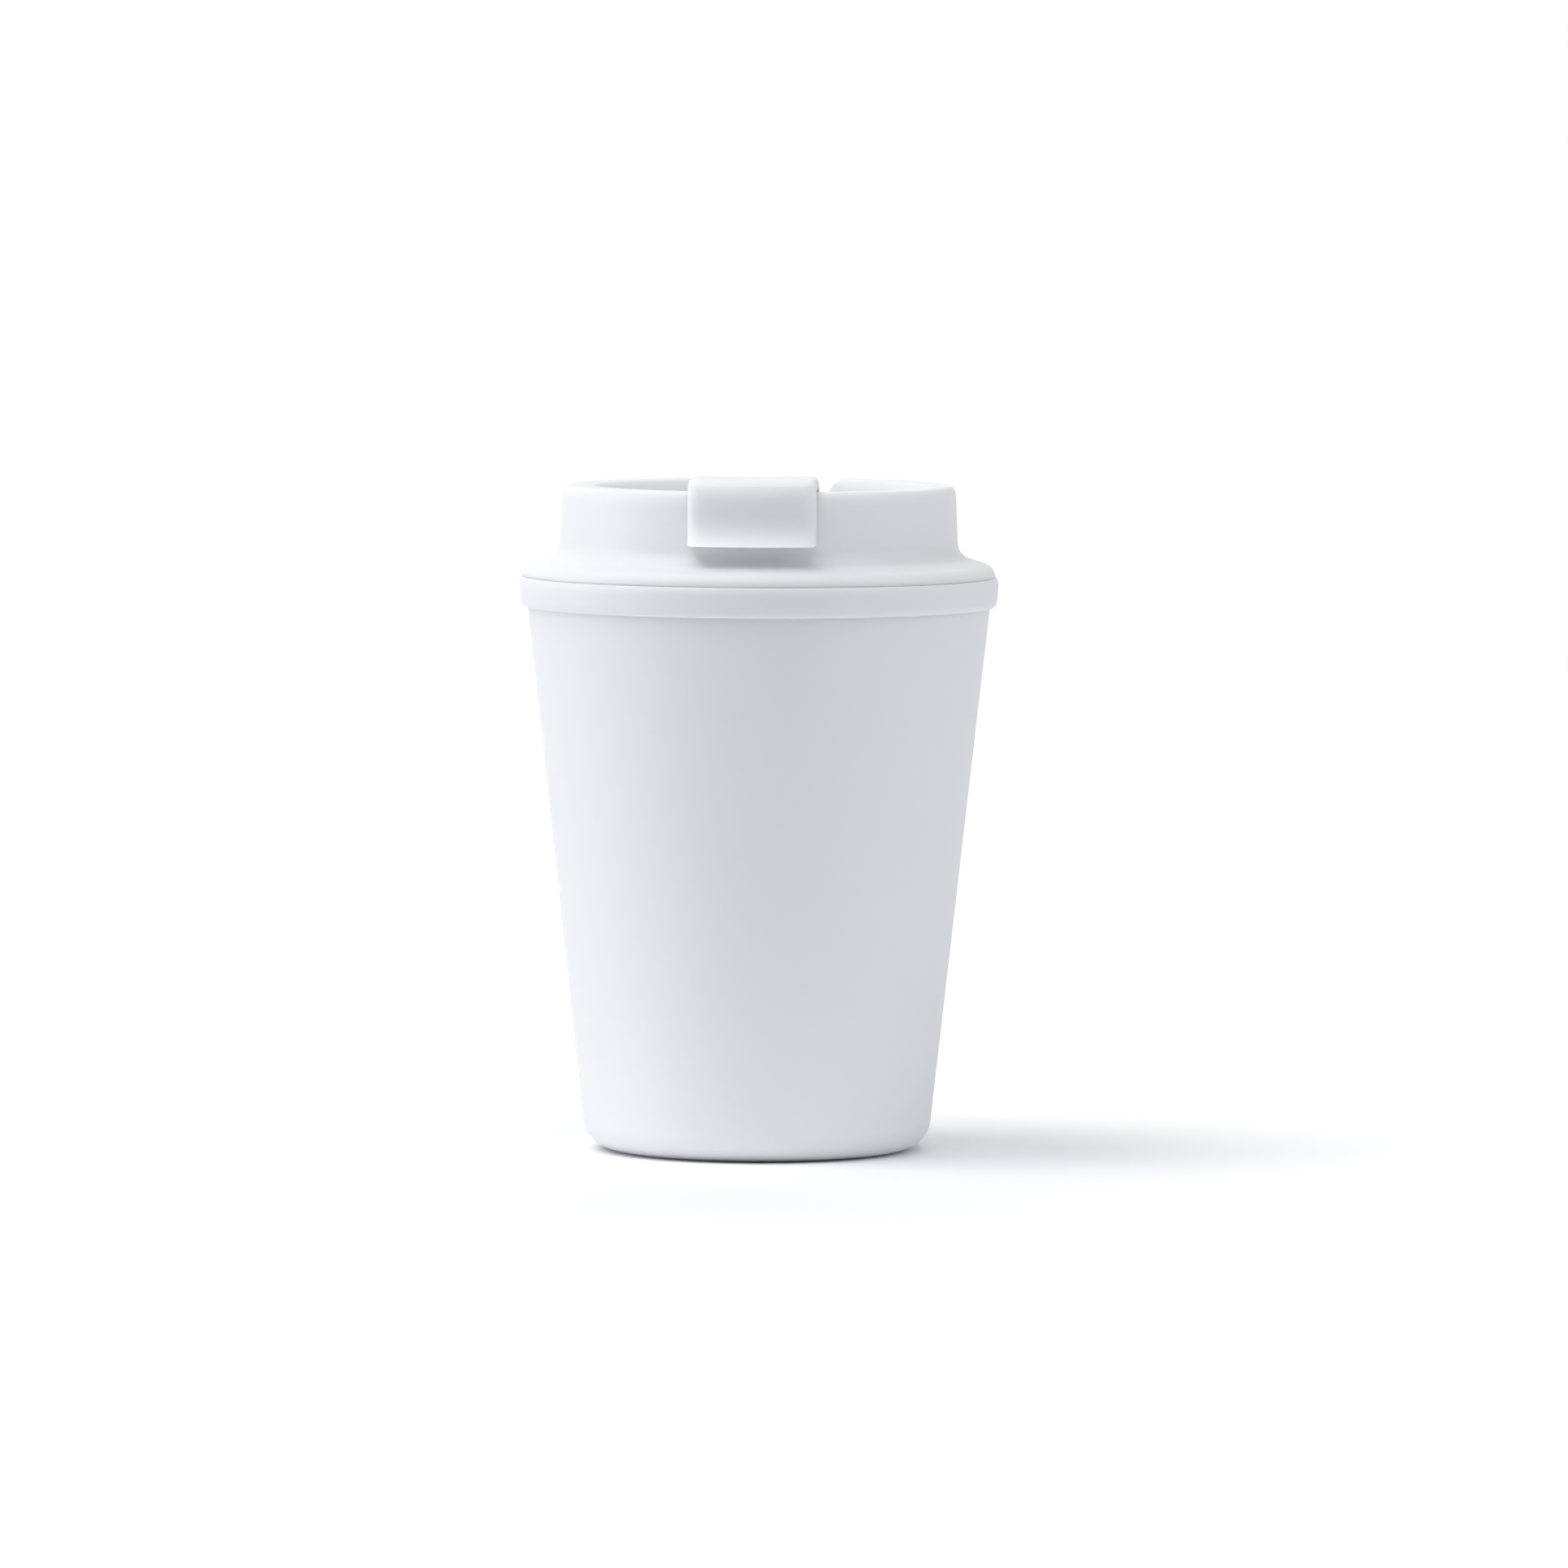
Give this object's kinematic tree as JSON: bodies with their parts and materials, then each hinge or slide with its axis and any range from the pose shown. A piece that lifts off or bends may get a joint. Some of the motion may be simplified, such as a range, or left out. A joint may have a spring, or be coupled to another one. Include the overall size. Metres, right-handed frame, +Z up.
{
  "type": "reusable double-wall coffee cup with a flip-closure lid",
  "caption": "Tapered double-wall plastic cup with a collar, a lug-turn lid with a recessed top and a flip closure that hooks over the front of its rim.",
  "frame": {"origin": "centre of the foot, on the surface that the cup stands on", "axes": "+Z up along the cup's axis, -Y towards the drinking side with the closure's tab, +X to the right seen from that side"},
  "size_m": [0.09, 0.09, 0.1275],
  "materials": {
    "shell_plastic": "fine matte moulded white",
    "inner_plastic": "satin moulded white",
    "lid_plastic": "satin moulded white",
    "silicone": "soft translucent white"
  },
  "bodies": {
    "cup": {"outer_shell": "shell_plastic", "inner_cup": "inner_plastic"},
    "seal": {"lid_gasket": "silicone"},
    "lid": {"lid": "lid_plastic"},
    "closure": {"flip_cap": "lid_plastic", "spout_plug": "silicone"}
  },
  "joints": [
    {"name": "lid_lift", "type": "slide", "parent": "cup", "child": "seal", "axis": [0, 0, 1], "range_m": [0, 0.002]},
    {"name": "lid_turn", "type": "hinge", "parent": "seal", "child": "lid", "pos_m": [0, 0, 0.108], "axis": [0, 0, 1], "range_deg": [0, 60]},
    {"name": "closure_flip", "type": "hinge", "parent": "lid", "child": "closure", "pos_m": [0, 0, 0.11905], "axis": [-1, 0, 0], "range_deg": [0, 165]}
  ],
  "couplings": [
    {"joint": "lid_lift", "follows": "lid_turn", "m_per_rad": 0.0019099}
  ]
}
